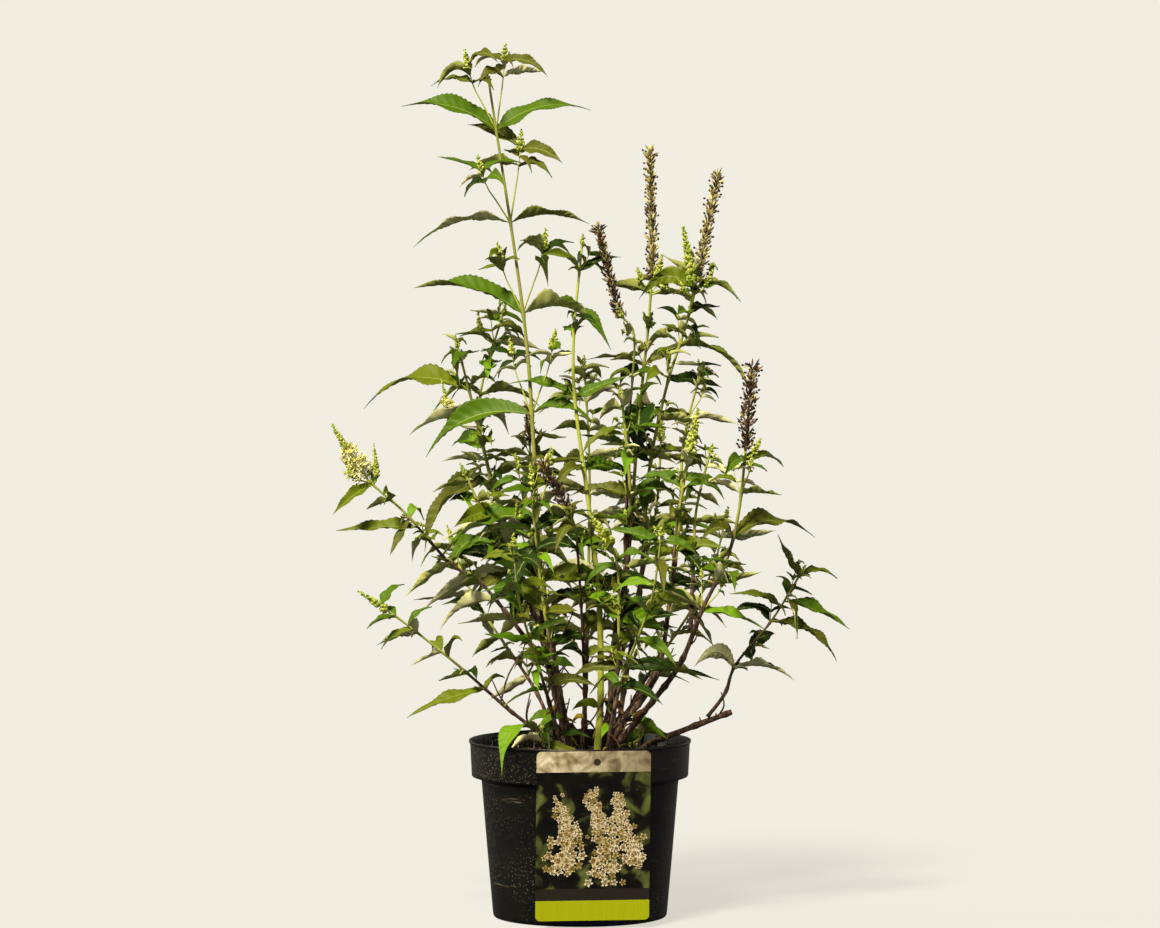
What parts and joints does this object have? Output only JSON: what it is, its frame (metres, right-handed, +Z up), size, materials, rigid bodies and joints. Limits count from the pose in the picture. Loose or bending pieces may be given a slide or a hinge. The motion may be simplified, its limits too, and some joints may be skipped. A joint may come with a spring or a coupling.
{
  "type": "potted butterfly bush",
  "caption": "Potted deciduous flowering shrub: woody canes rising from a round tapered nursery pot, opposite narrow leaves, long flower spikes and a hung care card.",
  "frame": {"origin": "middle of the pot's flat underside, on the plane that the plant stands on", "axes": "+Z up along the pot's axis, -Y towards the front that carries the label, +X to the right of the plant seen from its front"},
  "size_m": [0.5284, 0.3941, 0.889],
  "materials": {
    "pot_plastic": "satin",
    "compost": "matte",
    "label_card": "satin",
    "cane_bark": "matte",
    "foliage": "matte"
  },
  "bodies": {
    "root": {"pot": "pot_plastic", "soil": "compost", "label": "label_card", "cane_leader": "cane_bark", "cane_centre": "cane_bark", "cane_short": "cane_bark", "cane_tall_spike": "cane_bark", "cane_thin_spike": "cane_bark", "cane_right_spike": "cane_bark", "cane_right_arm": "cane_bark", "cane_right_fork": "cane_bark", "cane_far_right": "cane_bark", "cane_far_right_fork": "cane_bark", "cane_cut_arm": "cane_bark", "cane_over_rim": "cane_bark", "cane_low_right": "cane_bark", "cane_left": "cane_bark", "cane_left_tall": "cane_bark", "cane_left_inner": "cane_bark", "cane_far_left": "cane_bark", "cane_low_left": "cane_bark", "cane_inner_left": "cane_bark", "cane_inner_dark": "cane_bark", "cane_inner_right": "cane_bark", "cane_rear_left": "cane_bark", "cane_rear_middle": "cane_bark", "cane_rear_right": "cane_bark", "cane_rear_far_left": "cane_bark", "cane_rear_far_right": "cane_bark", "cane_front_left": "cane_bark", "cane_front_right": "cane_bark", "foliage_leader": "foliage", "foliage_centre": "foliage", "foliage_short": "foliage", "foliage_tall_spike": "foliage", "foliage_thin_spike": "foliage", "foliage_right_spike": "foliage", "foliage_right_arm": "foliage", "foliage_right_fork": "foliage", "foliage_far_right": "foliage", "foliage_far_right_fork": "foliage", "foliage_low_right": "foliage", "foliage_left": "foliage", "foliage_left_tall": "foliage", "foliage_left_inner": "foliage", "foliage_far_left": "foliage", "foliage_low_left": "foliage", "foliage_inner_left": "foliage", "foliage_inner_dark": "foliage", "foliage_inner_right": "foliage", "foliage_rear_left": "foliage", "foliage_rear_middle": "foliage", "foliage_rear_right": "foliage", "foliage_rear_far_left": "foliage", "foliage_rear_far_right": "foliage", "foliage_front_left": "foliage", "foliage_front_right": "foliage", "foliage_rim_shoot": "foliage", "foliage_foot_shoot": "foliage"}
  },
  "joints": []
}
